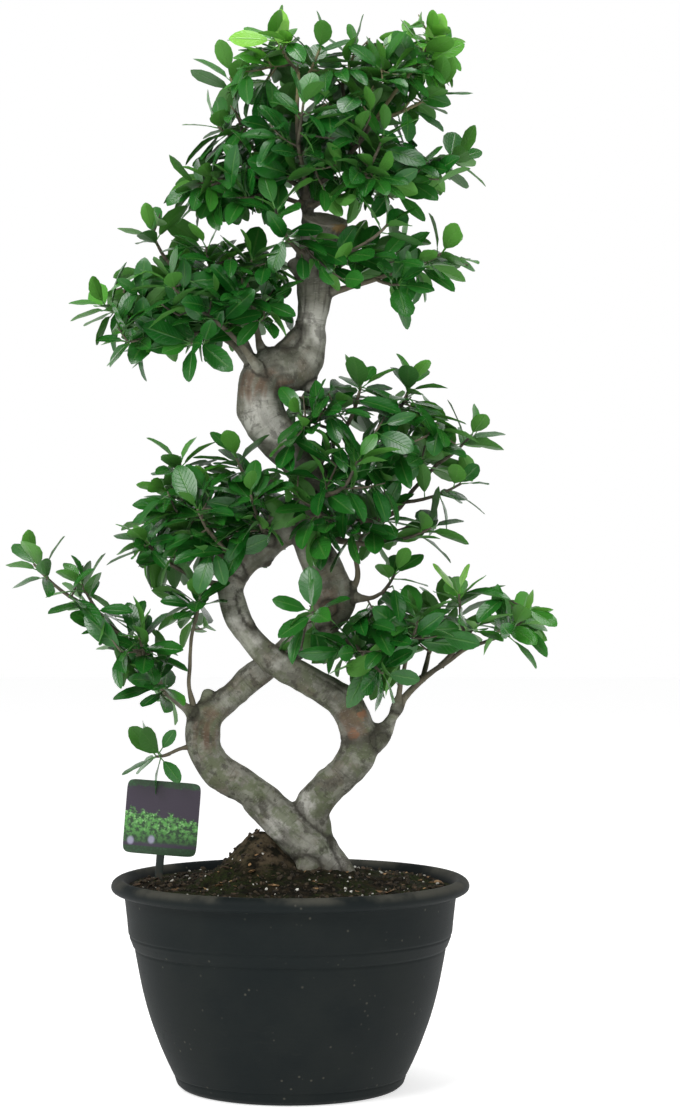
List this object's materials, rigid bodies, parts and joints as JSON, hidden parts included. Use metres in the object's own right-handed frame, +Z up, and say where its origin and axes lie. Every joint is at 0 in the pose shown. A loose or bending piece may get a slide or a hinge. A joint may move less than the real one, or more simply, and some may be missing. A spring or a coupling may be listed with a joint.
{
  "type": "potted chinese banyan",
  "caption": "Ficus bonsai whose bare stems braid and join below an S-shaped trunk with pads of small glossy leaves, rooted in soil in a round dark plastic pot with a plant label.",
  "frame": {"origin": "centre of the pot's flat foot, on the surface that the pot stands on", "axes": "+Z up along the pot's axis, -Y to the tree's front, +X to the right seen from the front"},
  "size_m": [0.5439, 0.358, 1.0769],
  "materials": {
    "pot": "matte",
    "soil": "matte",
    "bark": "matte",
    "label": "satin",
    "leaf": "satin"
  },
  "bodies": {
    "root": {"pot": "pot", "soil": "soil", "trunk": "bark", "plant_label": "label", "shoot_crown_01": "leaf", "shoot_crown_02": "leaf", "shoot_crown_03": "leaf", "shoot_crown_04": "leaf", "shoot_crown_05": "leaf", "shoot_crown_06": "leaf", "shoot_crown_07": "leaf", "shoot_crown_08": "leaf", "shoot_crown_09": "leaf", "shoot_crown_10": "leaf", "shoot_crown_11": "leaf", "shoot_crown_12": "leaf", "shoot_crown_13": "leaf", "shoot_crown_14": "leaf", "shoot_crown_15": "leaf", "shoot_left_pad_01": "leaf", "shoot_left_pad_02": "leaf", "shoot_left_pad_03": "leaf", "shoot_left_pad_04": "leaf", "shoot_left_pad_05": "leaf", "shoot_left_pad_06": "leaf", "shoot_left_pad_07": "leaf", "shoot_left_pad_08": "leaf", "shoot_right_pad_01": "leaf", "shoot_right_pad_02": "leaf", "shoot_right_pad_03": "leaf", "shoot_right_pad_04": "leaf", "shoot_right_pad_05": "leaf", "shoot_middle_right_01": "leaf", "shoot_middle_right_02": "leaf", "shoot_middle_right_03": "leaf", "shoot_middle_right_04": "leaf", "shoot_middle_right_05": "leaf", "shoot_middle_right_06": "leaf", "shoot_middle_right_07": "leaf", "shoot_middle_right_08": "leaf", "shoot_middle_right_09": "leaf", "shoot_middle_left_01": "leaf", "shoot_middle_left_02": "leaf", "shoot_middle_left_03": "leaf", "shoot_middle_left_04": "leaf", "shoot_middle_left_05": "leaf", "shoot_middle_left_06": "leaf", "shoot_middle_left_07": "leaf", "shoot_left_spray_01": "leaf", "shoot_left_spray_02": "leaf", "shoot_left_spray_03": "leaf", "shoot_left_spray_04": "leaf", "shoot_low_shoot": "leaf", "shoot_right_spray_01": "leaf", "shoot_right_spray_02": "leaf", "shoot_right_spray_03": "leaf", "shoot_right_spray_04": "leaf", "shoot_right_spray_05": "leaf", "shoot_right_spray_06": "leaf", "shoot_right_spray_07": "leaf"}
  },
  "joints": []
}
